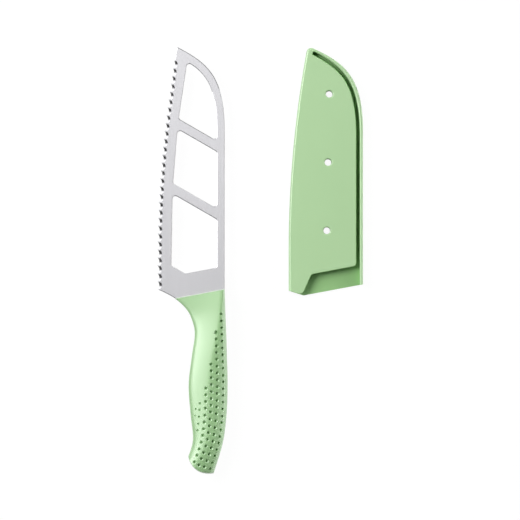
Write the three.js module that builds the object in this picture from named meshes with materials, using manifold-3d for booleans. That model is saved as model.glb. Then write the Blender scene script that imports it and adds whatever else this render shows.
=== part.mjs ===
import * as THREE from 'three';
import { mergeVertices } from 'three/addons/utils/BufferGeometryUtils.js';
import Module from 'manifold-3d';

const wasm = await Module();
wasm.setup();

// Sizes are in millimetres and angles in degrees.
// X runs from the cutting edge to the spine, Y from the butt to the tip, Z up out of the face.

// Blade plate
const BLADE_LENGTH = 151.4;
const BLADE_HEIGHT = 42.2;
const BLADE_THICKNESS = 1.2;
const EDGE_STRAIGHT = 20;
const EDGE_RADIUS = 700;
const SPINE_STRAIGHT = 98.3;
const SPINE_SWEEP = 34;
const TIP_SWEEP = 22.8;
const TIP_ANGLE = 27.4;
const CHOIL_BOW = 0.4;

// Scalloped serrations, ground into the upper face
const GOUGE_PITCH = 4.95;
const GOUGE_RADIUS = 4.4;
const GOUGE_TILT = 36;
const GULLET_DEPTH = 1.33;
const PLAIN_TIP = 7;
const FAINT_START = 0.7;
const FAINT_STEP = 0.15;
const GOUGE_FACETS = 36;

// Windows through the blade and the struts between them
const SPINE_STRIP = 4.9;
const BEND_STRIP = 5;
const EDGE_STRIP_HEEL = 8.9;
const EDGE_STRIP_TIP = 7.8;
const BASE_BAND = 14.2;
const STRUT_WIDTH = 6;
const STRUT_ANGLE = 30;
const STRUT_FIRST = 55.2;
const STRUT_PITCH = 42.3;
const BASE_CORNER = 8.6;
const WINDOW_RADIUS = 1.8;

// Tang hidden in the grip
const TANG_THICKNESS = 0.9;
const TANG_WIDTH = 12;
const TANG_SHARE = 0.73;
const TANG_INSET = 4;
const TANG_HOLE = 6;
const TANG_HOLE_FIRST = 24;
const TANG_HOLE_PITCH = 34;
const SEAT_GAP = 0.3;

// Grip
const GRIP_LENGTH = 115;
const GRIP_THICKNESS = 17.2;
const GRIP_FRONT = 30.9;
const GRIP_WAIST = 19.7;
const GRIP_SWELL = 24.4;
const GRIP_NECK = 18.65;
const GRIP_BUTT = 15.9;
const BOLSTER_SLANT = 10.6;
const BUTT_LEAD = 10.4;
const BUTT_DROP = 6.9;
const BUTT_BULGE = 4.2;
const SPINE_RISE = 1.85;
const BELLY_POWER = 5;
const BELLY_LEAN = 0.3;
const FACET_SLOPE = 24;
const FACET_POWER = 1.4;
const SPINE_LIP = 1.4;
const LIP_POWER = 1.4;
const FRONT_BEVEL = 1.1;
const FRONT_FALL = 2.2;
const BUTT_ROUND = 2;
const GRIP_STEPS = 24;
const BELLY_SIDES = 6;

// Dimples on both faces of the grip, in columns along the spine side
const DIMPLE_WIDTH = 1.9;
const DIMPLE_DEPTH = 0.9;
const DIMPLE_PITCH = 4.25;
const DIMPLE_MARGIN = 8;
// Each column: way in from the spine side, way from the butt to its first and to its last dimple.
const DIMPLE_COLUMNS = [
  [2.65, 3.6, 101.4],
  [6.3, 4.35, 89.4],
  [10, 3.9, 67.7],
  [13.35, 3.6, 50.4],
  [17, 20, 37],
  [19.4, 30.4, 34.7],
];

// Sheath
const POCKET_GAP = 0.4;
const SPINE_GAP = 0.7;
const POCKET_DEPTH = 4.4;
const PLATE_WALL = 1.3;
const EDGE_WALL = 1.1;
const TIP_WALL = 2.3;
const RIM_WIDTH = 2.1;
const RIM_TIP = 1.5;
const RIM_SWELL = 0.5;
const SLOT_WIDTH = 2.2;
const SLOT_REACH = 0.98;
const SHEATH_ROUND = 1.2;
const TIP_ROUND = 3;
const MOUTH_SETBACK = 4.85;
const MOUTH_STEP = 12.15;
const MOUTH_VERTEX = 34.4;
const MOUTH_RISE = 18;
const LEG_TOP = 29.5;
const LEG_ANGLE = 66;
const LEG_ROUND = 2.4;
const FOOT_ROUND = 3;
const DRAIN_HOLE = 4.2;
const DRAIN_FIRST = 39.1;
const DRAIN_PITCH = 42.7;
const DRAIN_COUNT = 3;
const DRAIN_INSET = 19.85;
const DRAIN_LEAN = 1;

// Where the sheath lies beside the knife
const PARK_SIDE = 83.7;
const PARK_BACK = 2.5;

const rad = THREE.MathUtils.degToRad;
const slant = Math.tan(rad(BOLSTER_SLANT));

// Points and solids

function vec(x, y) {
  return new THREE.Vector2(x, y);
}

function toSolid(geometry) {
  const plain = geometry.clone();
  plain.deleteAttribute('normal');
  plain.deleteAttribute('uv');
  const welded = mergeVertices(plain, 1e-4);
  const mesh = new wasm.Mesh({
    numProp: 3,
    vertProperties: new Float32Array(welded.attributes.position.array),
    triVerts: new Uint32Array(welded.index.array),
  });
  return new wasm.Manifold(mesh);
}

function toGeometry(solid) {
  const mesh = solid.getMesh();
  const geometry = new THREE.BufferGeometry();
  geometry.setAttribute('position', new THREE.BufferAttribute(mesh.vertProperties, 3));
  geometry.setIndex(new THREE.BufferAttribute(mesh.triVerts, 1));
  geometry.computeVertexNormals();
  return geometry;
}

// A flat outline raised from one height to another.
function slab(shape, from, to) {
  const options = { depth: to - from, bevelEnabled: false, curveSegments: 8 };
  const geometry = new THREE.ExtrudeGeometry(shape, options);
  geometry.translate(0, 0, from);
  return toSolid(geometry);
}

// A closed outline through corners of [point, radius], each rounded by an arc of its radius.
function roundedShape(corners) {
  const shape = new THREE.Shape();
  const count = corners.length;
  corners.forEach(([point, radius], i) => {
    const before = corners[(i + count - 1) % count][0].clone().sub(point).normalize();
    const after = corners[(i + 1) % count][0].clone().sub(point).normalize();
    const half = Math.acos(THREE.MathUtils.clamp(before.dot(after), -1, 1)) / 2;
    if (radius === 0) {
      if (i === 0) shape.moveTo(point.x, point.y);
      else shape.lineTo(point.x, point.y);
      return;
    }
    const start = point.clone().addScaledVector(before, radius / Math.tan(half));
    const middle = before.clone().add(after).normalize();
    const centre = point.clone().addScaledVector(middle, radius / Math.sin(half));
    const end = point.clone().addScaledVector(after, radius / Math.tan(half));
    if (i === 0) shape.moveTo(start.x, start.y);
    else shape.lineTo(start.x, start.y);
    const a0 = start.sub(centre).angle();
    const a1 = end.sub(centre).angle();
    shape.absarc(centre.x, centre.y, radius, a0, a1, before.cross(after) > 0);
  });
  shape.closePath();
  return shape;
}

// Where the line through a point at a slope meets another such line.
function meet(p, slopeP, q, slopeQ) {
  const x = (q.y - p.y + slopeP * p.x - slopeQ * q.x) / (slopeP - slopeQ);
  return vec(x, p.y + slopeP * (x - p.x));
}

// Blade outline

// The line of the tooth tips, moved outwards by some distance.
function edgeAt(y, out = 0) {
  const along = Math.max(0, y - EDGE_STRAIGHT);
  const radius = EDGE_RADIUS + out;
  return vec(radius - BLADE_HEIGHT - out - Math.sqrt(radius * radius - along * along), y);
}

const tip = edgeAt(BLADE_LENGTH);
const tipLine = vec(Math.cos(rad(TIP_ANGLE)), -Math.sin(rad(TIP_ANGLE)));
const spineBend = new THREE.CubicBezierCurve(
  vec(0, SPINE_STRAIGHT),
  vec(0, SPINE_STRAIGHT + SPINE_SWEEP),
  tip.clone().addScaledVector(tipLine, TIP_SWEEP),
  tip,
);

// The bent part of the spine, moved outwards by a distance that may change along it.
function spineLine(outAt, steps, end = 1) {
  const points = [];
  for (let i = 0; i <= steps; i += 1) {
    const t = (end * i) / steps;
    const along = spineBend.getTangent(t);
    points.push(spineBend.getPoint(t).addScaledVector(vec(along.y, -along.x), outAt(t)));
  }
  return points;
}

// The swept part of the edge, moved outwards likewise.
function edgeLine(outAt, steps) {
  const points = [];
  for (let i = 0; i <= steps; i += 1) {
    const t = i / steps;
    points.push(edgeAt(EDGE_STRAIGHT + (BLADE_LENGTH - EDGE_STRAIGHT) * t, outAt(t)));
  }
  return points;
}

const onLine = () => 0;

const tangLength = TANG_SHARE * GRIP_LENGTH;
const heel = vec(-BLADE_HEIGHT, 0);
const shoulderY = SEAT_GAP / Math.cos(rad(BOLSTER_SLANT));
const shoulderAt = (x) => vec(x, shoulderY + slant * x);

// Windows

const baseY = BASE_BAND / Math.cos(rad(BOLSTER_SLANT));
const strutSlope = -Math.tan(rad(STRUT_ANGLE));
const strutHalf = STRUT_WIDTH / 2 / Math.cos(rad(STRUT_ANGLE));
const strutX = (edgeAt(0).x + EDGE_STRIP_HEEL - SPINE_STRIP) / 2;
const strutAt = (i, side) => vec(strutX, STRUT_FIRST + STRUT_PITCH * i + side * strutHalf);

// The inner side of the edge strip between the base and the spine's bend.
function stripAt(y) {
  const share = (y - baseY) / (BLADE_LENGTH - baseY);
  const width = THREE.MathUtils.lerp(EDGE_STRIP_HEEL, EDGE_STRIP_TIP, share);
  return edgeAt(y).add(vec(width, 0));
}

// The corners of a window where a slanted line meets the edge strip and the spine strip.
function crossing(point, slope) {
  let left = stripAt(point.y);
  for (let i = 0; i < 4; i += 1) left = stripAt(point.y + slope * (left.x - point.x));
  return [left, vec(-SPINE_STRIP, point.y + slope * (-SPINE_STRIP - point.x))];
}

function heelWindow() {
  const base = vec(0, baseY);
  const [low, lowRight] = crossing(base, slant);
  const [highLeft, highRight] = crossing(strutAt(0, -1), strutSlope);
  const foot = vec(low.x + BASE_CORNER, low.y + slant * BASE_CORNER);
  const cut = vec(low.x, foot.y - strutSlope * BASE_CORNER);
  return [foot, lowRight, highRight, highLeft, cut];
}

function middleWindow() {
  const [lowLeft, lowRight] = crossing(strutAt(0, 1), strutSlope);
  const [highLeft, highRight] = crossing(strutAt(1, -1), strutSlope);
  return [lowLeft, lowRight, highRight, highLeft];
}

// The tip window follows the bend of the spine up to the edge strip.
function tipWindow() {
  const [lowLeft, lowRight] = crossing(strutAt(1, 1), strutSlope);
  const inset = (t) => -THREE.MathUtils.lerp(SPINE_STRIP, BEND_STRIP, Math.min(1, 3 * t));
  const bend = spineLine(inset, 240).filter((p) => p.x > stripAt(p.y).x);
  const top = bend[bend.length - 1];
  const room = 2.6 * WINDOW_RADIUS;
  const side = bend.filter((p, i) => i % 16 === 0 && p.distanceTo(top) > room);
  const corners = [lowLeft, lowRight, top].map((p) => [p, WINDOW_RADIUS]);
  corners.splice(2, 0, ...side.map((p) => [p, 0]));
  return corners;
}

const windows = [heelWindow(), middleWindow()].map((corners) => corners.map((p) => [p, WINDOW_RADIUS]));
windows.push(tipWindow());

// Blade with its tang

function bladePlate() {
  const shape = new THREE.Shape();
  const start = shoulderAt(0);
  const end = shoulderAt(-GRIP_FRONT);
  shape.moveTo(start.x, start.y);
  spineLine(onLine, 14).forEach((p) => shape.lineTo(p.x, p.y));
  edgeLine(onLine, 14).reverse().slice(1).forEach((p) => shape.lineTo(p.x, p.y));
  shape.lineTo(heel.x, heel.y);
  const bow = heel.clone().add(end).multiplyScalar(0.5).add(vec(CHOIL_BOW, CHOIL_BOW));
  shape.quadraticCurveTo(bow.x, bow.y, end.x, end.y);
  shape.closePath();
  shape.holes = windows.map(roundedShape);
  return slab(shape, -BLADE_THICKNESS / 2, BLADE_THICKNESS / 2);
}

// The tang outline, grown by a gap where it stands for the room left in the grip.
function tangShape(gap, top) {
  const right = -TANG_INSET + gap;
  const left = -TANG_INSET - TANG_WIDTH - gap;
  const low = -tangLength - gap;
  const shape = roundedShape([
    [vec(left, low), TANG_WIDTH / 4],
    [vec(right, low), TANG_WIDTH / 4],
    [vec(right, top), 0],
    [vec(left, top), 0],
  ]);
  for (let y = TANG_HOLE_FIRST; y < tangLength - TANG_HOLE; y += TANG_HOLE_PITCH) {
    const hole = new THREE.Path();
    hole.absarc((left + right) / 2, -y, TANG_HOLE / 2 - gap, 0, 2 * Math.PI, true);
    shape.holes.push(hole);
  }
  return shape;
}

// Round cutters laid square to the edge and tilted up into the blade, one to each scallop.
function gougeCutters() {
  const line = new THREE.CurvePath();
  line.add(new THREE.LineCurve(heel, edgeAt(EDGE_STRAIGHT)));
  line.add(new THREE.SplineCurve(edgeLine(onLine, 40)));
  const length = line.getLength();
  const count = Math.floor((length - PLAIN_TIP) / GOUGE_PITCH + 1e-6);
  const cutters = [];
  for (let i = 0; i < count; i += 1) {
    const depth = GULLET_DEPTH * Math.min(1, FAINT_START + FAINT_STEP * (count - 1 - i));
    const reach = GOUGE_RADIUS / Math.sin(rad(GOUGE_TILT)) - depth;
    const u = ((i + 0.5) * GOUGE_PITCH) / length;
    const at = line.getPointAt(u);
    const along = line.getTangentAt(u);
    const inward = new THREE.Vector3(along.y, -along.x, 0);
    const axis = inward.clone().multiplyScalar(Math.cos(rad(GOUGE_TILT)));
    axis.z = Math.sin(rad(GOUGE_TILT));
    const cutter = new THREE.CylinderGeometry(GOUGE_RADIUS, GOUGE_RADIUS, BLADE_HEIGHT / 2, GOUGE_FACETS);
    cutter.applyQuaternion(new THREE.Quaternion().setFromUnitVectors(new THREE.Vector3(0, 1, 0), axis));
    cutter.translate(at.x - inward.x * reach, at.y - inward.y * reach, -BLADE_THICKNESS / 2);
    cutters.push(toSolid(cutter));
  }
  return cutters;
}

function blade() {
  const tang = slab(tangShape(0, shoulderY), -TANG_THICKNESS / 2, TANG_THICKNESS / 2);
  const ground = wasm.Manifold.difference([bladePlate(), ...gougeCutters()]);
  return toGeometry(ground.add(tang));
}

// Grip

// Sections from the bolster to the butt: share of the length, outward offset of the spine side,
// spine to belly, lead of the belly side, share of the thickness, place of the ridge.
const frontLead = -slant * GRIP_FRONT;
const SECTIONS = [
  [0, 0, GRIP_FRONT, frontLead, 0.8, 0.96],
  [0.045, SPINE_RISE * 0.11, GRIP_WAIST * 1.27, frontLead * 1.07, 0.86, 0.92],
  [0.115, SPINE_RISE * 0.22, GRIP_WAIST * 1.09, frontLead * 0.74, 0.91, 0.85],
  [0.234, SPINE_RISE * 0.54, GRIP_WAIST, frontLead * 0.1, 0.98, 0.72],
  [0.368, SPINE_RISE * 0.78, (GRIP_WAIST + GRIP_SWELL) / 2, 0, 1, 0.59],
  [0.519, SPINE_RISE, GRIP_SWELL, 0, 1, 0.52],
  [0.684, SPINE_RISE * 0.62, (GRIP_SWELL * 2 + GRIP_NECK) / 3, BUTT_LEAD * 0.1, 1, 0.43],
  [0.835, -BUTT_DROP * 0.17, GRIP_NECK, BUTT_LEAD * 0.23, 0.98, 0.33],
  [1, -BUTT_DROP, GRIP_BUTT, BUTT_LEAD, 0.9, 0.2],
];

const spineSide = new THREE.SplineCurve(SECTIONS.map(([at, out]) => vec(out, -at * GRIP_LENGTH)));
const bellySide = new THREE.SplineCurve(
  SECTIONS.map(([at, out, depth, lead]) => vec(out - depth, lead - at * GRIP_LENGTH)),
);
const halfAndRidge = new THREE.SplineCurve(
  SECTIONS.map(([, , , , share, ridge]) => vec((share * GRIP_THICKNESS) / 2, ridge)),
);

// The way from the ridge to the spine side, and the part of it that the steep lip takes.
function facetAt(t) {
  const ridge = halfAndRidge.getPoint(t).y;
  const reach = (1 - ridge) * bellySide.getPoint(t).distanceTo(spineSide.getPoint(t));
  return { reach, lip: Math.min(SPINE_LIP, 0.6 * reach) };
}

// The height of the grip's face at a share of the way from belly to spine: it leans to the belly,
// then a facet that leans down to the lip at the spine.
function faceHeight(t, u) {
  const { x: half, y: ridge } = halfAndRidge.getPoint(t);
  if (u <= ridge) {
    const side = Math.min(1, (ridge - u) / ridge);
    const lean = BELLY_LEAN * Math.min(1, 4 * t);
    return half * (1 - lean * side) * (1 - side ** BELLY_POWER) ** (1 / BELLY_POWER);
  }
  const { reach, lip } = facetAt(t);
  const side = Math.min(1, (u - ridge) / (1 - ridge));
  const drop = reach * Math.tan(rad(FACET_SLOPE)) * side ** FACET_POWER;
  const inset = Math.min(1, ((1 - side) * reach) / lip);
  return (half - Math.min(drop, 0.72 * half)) * (1 - (1 - inset) ** LIP_POWER) ** (1 / LIP_POWER);
}

// The point in plan at a share of the length and a share of the way from belly to spine.
function planPoint(t, u) {
  const belly = bellySide.getPoint(t);
  const spine = spineSide.getPoint(t);
  const across = spine.clone().sub(belly);
  const back = vec(across.y, -across.x).normalize();
  const bulge = BUTT_BULGE * t ** 8 * 4 * u * (1 - u);
  return belly.addScaledVector(across, u).addScaledVector(back, bulge);
}

// Places across one face, from spine to belly, closest together on the lip and at the belly.
function placesAcross(t) {
  const ridge = halfAndRidge.getPoint(t).y;
  const { reach, lip } = facetAt(t);
  const lipShare = lip / reach;
  const inFromSpine = [0, 0.12, 0.4, 0.8, 1.3].map((share) => share * lipShare);
  inFromSpine.push((1 + 1.3 * lipShare) / 2);
  const places = inFromSpine.map((share) => 1 - (1 - ridge) * share);
  for (let i = BELLY_SIDES; i >= 0; i -= 1) {
    places.push(ridge * (1 - Math.cos((Math.PI * i) / (2 * BELLY_SIDES)) ** (2 / BELLY_POWER)));
  }
  return places;
}

// One closed ring round the grip, its faces lowered where the end is rounded.
function gripRing(t, lowered) {
  const half = halfAndRidge.getPoint(t).x;
  const face = placesAcross(t).map((u) => {
    const plan = planPoint(t, u);
    return new THREE.Vector3(plan.x, plan.y, (faceHeight(t, u) * (half - lowered)) / half);
  });
  const under = face.slice(1, -1).reverse();
  return [...face, ...under.map((p) => new THREE.Vector3(p.x, p.y, -p.z))];
}

function gripRings() {
  const rings = [];
  const front = FRONT_BEVEL / GRIP_LENGTH;
  const butt = BUTT_ROUND / GRIP_LENGTH;
  rings.push(gripRing(0, FRONT_FALL));
  for (let i = 0; i <= GRIP_STEPS; i += 1) {
    rings.push(gripRing(front + ((1 - butt - front) * i) / GRIP_STEPS, 0));
  }
  for (let i = 1; i <= 3; i += 1) {
    const turn = (Math.PI * i) / 6;
    rings.push(gripRing(1 - butt * (1 - Math.sin(turn)), BUTT_ROUND * (1 - Math.cos(turn))));
  }
  return rings;
}

// A closed skin over a row of rings, with a fan over each end.
function loft(rings) {
  const count = rings[0].length;
  const points = rings.flat();
  const faces = [];
  for (let r = 0; r < rings.length - 1; r += 1) {
    for (let i = 0; i < count; i += 1) {
      const a = r * count + i;
      const b = r * count + ((i + 1) % count);
      faces.push(a, b, a + count, b, b + count, a + count);
    }
  }
  const last = (rings.length - 1) * count;
  [rings[0], rings[rings.length - 1]].forEach((ring, end) => {
    const middle = ring.reduce((sum, p) => sum.add(p), new THREE.Vector3()).divideScalar(count);
    points.push(middle);
    for (let i = 0; i < count; i += 1) {
      const a = i + end * last;
      const b = ((i + 1) % count) + end * last;
      if (end === 0) faces.push(points.length - 1, b, a);
      else faces.push(points.length - 1, a, b);
    }
  });
  const geometry = new THREE.BufferGeometry().setFromPoints(points);
  geometry.setIndex(faces);
  return geometry;
}

// A line along the upper face of the grip, a set way in from its spine side.
class FaceLine extends THREE.Curve {
  constructor(inset) {
    super();
    this.inset = inset;
  }

  getPoint(t) {
    const u = 1 - this.inset / bellySide.getPoint(t).distanceTo(spineSide.getPoint(t));
    const plan = planPoint(t, u);
    return new THREE.Vector3(plan.x, plan.y, faceHeight(t, u));
  }

  // The outward direction of the face on this line.
  getNormal(t) {
    const along = this.getPoint(t + 0.004).sub(this.getPoint(t - 0.004));
    const across = new FaceLine(this.inset - 0.3).getPoint(t).sub(new FaceLine(this.inset + 0.3).getPoint(t));
    return across.cross(along).normalize().multiplyScalar(-1);
  }
}

// Six-sided pits set square to the face, one pitch apart along each column.
function dimpleCutters() {
  const cutters = [];
  DIMPLE_COLUMNS.forEach(([inset, first, last]) => {
    const line = new FaceLine(inset);
    const length = line.getLength();
    const end = Math.min(last + DIMPLE_PITCH / 2, length - DIMPLE_MARGIN);
    for (let way = first; way < end; way += DIMPLE_PITCH) {
      const t = line.getUtoTmapping(0, length - way);
      const at = line.getPoint(t);
      const out = line.getNormal(t);
      const pit = new THREE.ConeGeometry(DIMPLE_WIDTH, DIMPLE_DEPTH * 2, 6);
      pit.rotateX(Math.PI);
      pit.applyQuaternion(new THREE.Quaternion().setFromUnitVectors(new THREE.Vector3(0, 1, 0), out));
      pit.translate(at.x, at.y, at.z);
      const solid = toSolid(pit);
      cutters.push(solid, solid.mirror([0, 0, 1]));
    }
  });
  return cutters;
}

function handle() {
  const reach = TANG_THICKNESS / 2 + SEAT_GAP;
  const room = slab(tangShape(SEAT_GAP, GRIP_FRONT), -reach, reach);
  return toGeometry(wasm.Manifold.difference([toSolid(loft(gripRings())), room, ...dimpleCutters()]));
}

// Sheath, drawn as it sits on the blade

const backY = MOUTH_SETBACK / Math.cos(rad(BOLSTER_SLANT));
const frontY = (MOUTH_SETBACK + MOUTH_STEP) / Math.cos(rad(BOLSTER_SLANT));
const sheathTop = 2 * PLATE_WALL + POCKET_DEPTH;
const below = -2 * GRIP_FRONT;

// The mouth edge runs along the bolster to this point, then rises towards the heel.
const mouthTurn = vec(-MOUTH_VERTEX, backY - slant * MOUTH_VERTEX);
const mouthSlope = -Math.tan(rad(MOUTH_RISE));
const mouthEnd = vec(-2 * BLADE_HEIGHT, mouthTurn.y + mouthSlope * (MOUTH_VERTEX - 2 * BLADE_HEIGHT));

// An outline round the blade, grown by one distance at the edge and another at the spine.
function roundBlade(edgeAtT, spineAtT, steps, round) {
  const spine = spineLine(spineAtT, steps);
  const edge = edgeLine(edgeAtT, steps);
  const topEdge = edge[edge.length - 1];
  const topSpine = spine[spine.length - 1];
  const edgeSlope = (topEdge.y - edge[edge.length - 2].y) / (topEdge.x - edge[edge.length - 2].x);
  const corner = meet(topSpine, tipLine.y / tipLine.x, topEdge, edgeSlope);
  return roundedShape([
    [vec(spineAtT(0), below), 0],
    ...spine.slice(0, -1).map((p) => [p, 0]),
    [corner, round],
    ...edge.slice(0, -1).reverse().map((p) => [p, 0]),
    [vec(-BLADE_HEIGHT - edgeAtT(0), below), 0],
  ]);
}

function sheathBody() {
  const edgeOut = (t) => POCKET_GAP + THREE.MathUtils.lerp(EDGE_WALL, TIP_WALL, t);
  const rim = (t) => THREE.MathUtils.lerp(RIM_WIDTH, RIM_TIP, t ** 4) + RIM_SWELL * Math.sin(Math.PI * t);
  const spineOut = (t) => SPINE_GAP + rim(t);
  const shape = roundBlade(edgeOut, spineOut, 12, TIP_ROUND);
  const geometry = new THREE.ExtrudeGeometry(shape, {
    depth: sheathTop - 2 * SHEATH_ROUND,
    bevelThickness: SHEATH_ROUND,
    bevelSize: SHEATH_ROUND,
    bevelOffset: -SHEATH_ROUND,
    bevelSegments: 2,
    curveSegments: 5,
  });
  geometry.translate(0, 0, SHEATH_ROUND);
  return toSolid(geometry);
}

// Everything below the mouth edge.
function belowMouth() {
  const shape = roundedShape([
    [vec(BLADE_HEIGHT, backY + slant * BLADE_HEIGHT), 0],
    [mouthTurn, SHEATH_ROUND],
    [mouthEnd, 0],
    [vec(mouthEnd.x, 2 * below), 0],
    [vec(BLADE_HEIGHT, 2 * below), 0],
  ]);
  return slab(shape, -1, sheathTop + 1);
}

// The opening in the front plate: a slot along the spine that widens into the mouth.
function frontOpening() {
  const steps = 12;
  const inner = spineLine(() => SPINE_GAP - SLOT_WIDTH, steps, SLOT_REACH);
  const outer = spineLine(() => SPINE_GAP, steps, SLOT_REACH);
  const slotX = SPINE_GAP - SLOT_WIDTH;
  const leg = vec(-LEG_TOP, frontY - slant * LEG_TOP);
  const foot = meet(leg, Math.tan(rad(LEG_ANGLE)), mouthTurn, mouthSlope);
  return slab(
    roundedShape([
      [vec(SPINE_GAP, below), 0],
      ...outer.slice(0, -1).map((p) => [p, 0]),
      [outer[steps], SLOT_WIDTH * 0.45],
      [inner[steps], SLOT_WIDTH * 0.45],
      ...inner.slice(0, -1).reverse().map((p) => [p, 0]),
      [vec(slotX, frontY + slant * slotX), LEG_ROUND],
      [leg, LEG_ROUND],
      [foot, FOOT_ROUND],
      [mouthEnd, 0],
      [vec(mouthEnd.x, below), 0],
    ]),
    PLATE_WALL + POCKET_DEPTH / 2,
    sheathTop + 1,
  );
}

function drainHoles() {
  const holes = [];
  for (let i = 0; i < DRAIN_COUNT; i += 1) {
    const drill = new THREE.CylinderGeometry(DRAIN_HOLE / 2, DRAIN_HOLE / 2, 4 * sheathTop, 20);
    drill.rotateX(Math.PI / 2);
    const lean = Math.tan(rad(DRAIN_LEAN)) * DRAIN_PITCH * i;
    drill.translate(lean - DRAIN_INSET, DRAIN_FIRST + DRAIN_PITCH * i, 0);
    holes.push(toSolid(drill));
  }
  return holes;
}

function sheath() {
  const inside = roundBlade(() => POCKET_GAP, () => SPINE_GAP, 12, POCKET_GAP);
  const pocket = slab(inside, PLATE_WALL, PLATE_WALL + POCKET_DEPTH);
  const cut = [pocket, belowMouth(), frontOpening(), ...drainHoles()];
  return toGeometry(wasm.Manifold.difference([sheathBody(), ...cut]));
}

// Assembly

const steel = new THREE.MeshStandardMaterial({ color: 0xd0d0d4, roughness: 0.35, metalness: 1 });
const grip = new THREE.MeshStandardMaterial({ color: 0xb4d9a4, roughness: 0.4, metalness: 0 });
const cover = new THREE.MeshStandardMaterial({ color: 0xaed0a2, roughness: 0.45, metalness: 0 });

// The knife lies on the side of its grip, with the blade flat above the table.
const gripGeometry = handle();
gripGeometry.computeBoundingBox();
const lift = -gripGeometry.boundingBox.min.z;

const pieces = [
  ['blade', blade().translate(0, 0, lift), steel],
  ['handle', gripGeometry.translate(0, 0, lift), grip],
  ['sheath', sheath().translate(PARK_SIDE, -PARK_BACK, 0), cover],
];

const knife = new THREE.Group();
knife.name = 'serrated_knife_with_sheath';
pieces.forEach(([name, geometry, material]) => {
  const mesh = new THREE.Mesh(geometry, material);
  mesh.name = name;
  knife.add(mesh);
});

// The origin goes to the middle of the box round everything, on the table.
const middle = new THREE.Box3().setFromObject(knife).getCenter(new THREE.Vector3());
pieces.forEach(([, geometry]) => geometry.translate(-middle.x, -middle.y, 0));

export default knife;
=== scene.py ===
import math

import bmesh
import bpy
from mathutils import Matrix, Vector


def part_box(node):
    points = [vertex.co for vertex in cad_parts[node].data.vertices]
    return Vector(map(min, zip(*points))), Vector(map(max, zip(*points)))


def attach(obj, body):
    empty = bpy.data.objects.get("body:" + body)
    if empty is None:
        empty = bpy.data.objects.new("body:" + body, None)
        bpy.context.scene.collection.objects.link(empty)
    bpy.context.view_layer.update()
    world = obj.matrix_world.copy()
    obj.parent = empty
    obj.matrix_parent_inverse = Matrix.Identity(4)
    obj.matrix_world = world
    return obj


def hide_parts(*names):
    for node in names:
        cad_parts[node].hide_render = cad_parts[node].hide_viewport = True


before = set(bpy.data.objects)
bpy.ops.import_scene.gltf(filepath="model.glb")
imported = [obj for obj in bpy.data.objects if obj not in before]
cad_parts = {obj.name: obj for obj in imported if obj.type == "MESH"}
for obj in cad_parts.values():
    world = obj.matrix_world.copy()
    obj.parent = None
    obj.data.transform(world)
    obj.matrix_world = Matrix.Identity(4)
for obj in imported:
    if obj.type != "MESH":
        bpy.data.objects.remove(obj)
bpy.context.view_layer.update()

# Sizes are in millimetres and angles in degrees, as in the part's source.
# A share counts the whole as 1, and steps, sides, samples and powers are plain numbers.
MM = 0.001

# Blade plate
BLADE_LENGTH = 151.4
BLADE_HEIGHT = 42.2
BLADE_THICKNESS = 1.2
EDGE_STRAIGHT = 20
EDGE_RADIUS = 700
EDGE_STEPS = 40
SPINE_STRAIGHT = 98.3
SPINE_SWEEP = 34
SPINE_STEPS = 56
TIP_SWEEP = 22.8
TIP_ANGLE = 27.4
CHOIL_BOW = 0.4
CHOIL_STEPS = 12
RIM_BREAK = 0.12
RIM_STEPS = 2
FACE_BREAK = 0.5
FACE_FALL = 0.27
BLADE_CREASE = 25

# Parts of a normal that tell the blade's upright sides and flat faces from its sloped rims,
# and the rims that face the butt (painted shade), the spine (painted highlight) or the tip from the
# others
UPRIGHT = 0.3
FLAT = 0.98
TO_BUTT = 0.15
TO_SPINE = 0.1
TO_TIP = 0.15

# Scallops
GOUGE_PITCH = 4.95
GOUGE_RADIUS = 4.4
GOUGE_TILT = 36
GOUGE_SIDES = 96
GULLET_DEPTH = 1.33
PLAIN_TIP = 7
FAINT_START = 0.55
FAINT_STEP = 0.15
EDGE_SAMPLE = 0.5

# Windows and struts
SPINE_STRIP = 4.9
BEND_STRIP = 5
BEND_SAMPLES = 240
BEND_SKIP = 5
EDGE_STRIP_HEEL = 8.9
EDGE_STRIP_TIP = 7.8
BASE_BAND = 14.2
STRUT_WIDTH = 6
STRUT_ANGLE = 30
STRUT_FIRST = 55.2
STRUT_PITCH = 42.3
BASE_CORNER = 8.6
WINDOW_RADIUS = 1.8
CORNER_ROOM = 2.6 * WINDOW_RADIUS

# Tang
TANG_THICKNESS = 0.9
TANG_WIDTH = 12
TANG_INSET = 4
TANG_LENGTH = 83.95
TANG_ROUND = 3
TANG_LAP = 2
SHOULDER_SUNK = 0.8
SHOULDER_SHORT = 0.4

# Grip
GRIP_LENGTH = 115
GRIP_THICKNESS = 17.2
GRIP_FRONT = 30.9
GRIP_WAIST = 19.7
GRIP_SWELL = 24.4
GRIP_NECK = 18.65
GRIP_BUTT = 15.9
BOLSTER_SLANT = 10.6
BUTT_LEAD = 10.4
BUTT_DROP = 6.9
BUTT_BULGE = 4.2
BULGE_POWER = 8
SPINE_RISE = 1.85
BELLY_FRONT_POWER = 12
BELLY_POWER = 8
FRONT_LEAN = 0.7
BELLY_LEAN = 0.3
BELLY_BOW = 1.3
BUTT_BOW = 2
FACET_SLOPE = 24
FACET_FRONT_POWER = 1.1
FACET_BUTT_POWER = 2
FACET_DEEPEST = 0.72
SPINE_LIP = 2
LIP_WIDEST = 0.6
LIP_POWER = 1.8
FRONT_BEVEL = 1.1
FRONT_FALL = 2.2
BUTT_ROUND = 1.2
BUTT_FALL = 6
BUTT_PROFILE = [(0.2, 0.05), (0.4, 0.2), (0.7, 0.6), (1, 1)]
GRIP_CREASE = 38

# Start and length of the stretches along which one form becomes another, as shares
STRIP_TURN = (0, 1 / 3)
BELLY_TURN = (0, 0.3)
LEAN_TURN = (0, 0.25)
BOW_TURN = (0.78, 0.2)
FACET_TURN = (0.15, 0.4)

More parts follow.
